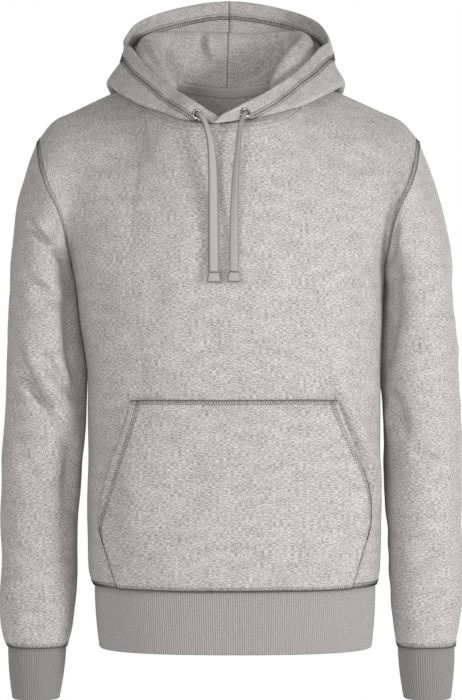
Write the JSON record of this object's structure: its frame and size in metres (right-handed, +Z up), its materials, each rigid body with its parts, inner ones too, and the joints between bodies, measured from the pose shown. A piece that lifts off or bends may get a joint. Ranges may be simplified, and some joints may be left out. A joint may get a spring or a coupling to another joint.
{
  "type": "pullover hoodie",
  "caption": "Pullover hooded sweatshirt in marled fleece, in its worn hollow form, with a drawcord, a front pouch pocket, and ribbed cuffs and hem.",
  "frame": {"origin": "the middle of the neck opening, 20 mm under the neck ends of the shoulder seams, where the wearer's shoulders hold the garment up", "axes": "+Z up, the front faces -Y, and +X is the wearer's left side"},
  "size_m": [0.576, 0.3001, 0.8869],
  "materials": {
    "fleece": "grey marl looped-back fleece",
    "rib_knit": "grey marl rib knit",
    "drawcord": "flat grey woven cord",
    "neck_tape": "dark grey herringbone tape",
    "eyelet_metal": "dark polished",
    "cord_tip": "smooth",
    "thread": "grey sewing thread"
  },
  "bodies": {
    "root": {"front_panel": "fleece", "back_panel": "fleece", "pocket": "fleece", "hem_rib": "rib_knit", "neck_tape": "neck_tape", "sleeve_right": "fleece", "cuff_right": "rib_knit", "hood_right": "fleece", "eyelet_right": "eyelet_metal", "drawcord_right": "drawcord", "cord_tip_right": "cord_tip", "sleeve_left": "fleece", "cuff_left": "rib_knit", "hood_left": "fleece", "eyelet_left": "eyelet_metal", "drawcord_left": "drawcord", "cord_tip_left": "cord_tip"}
  },
  "joints": []
}
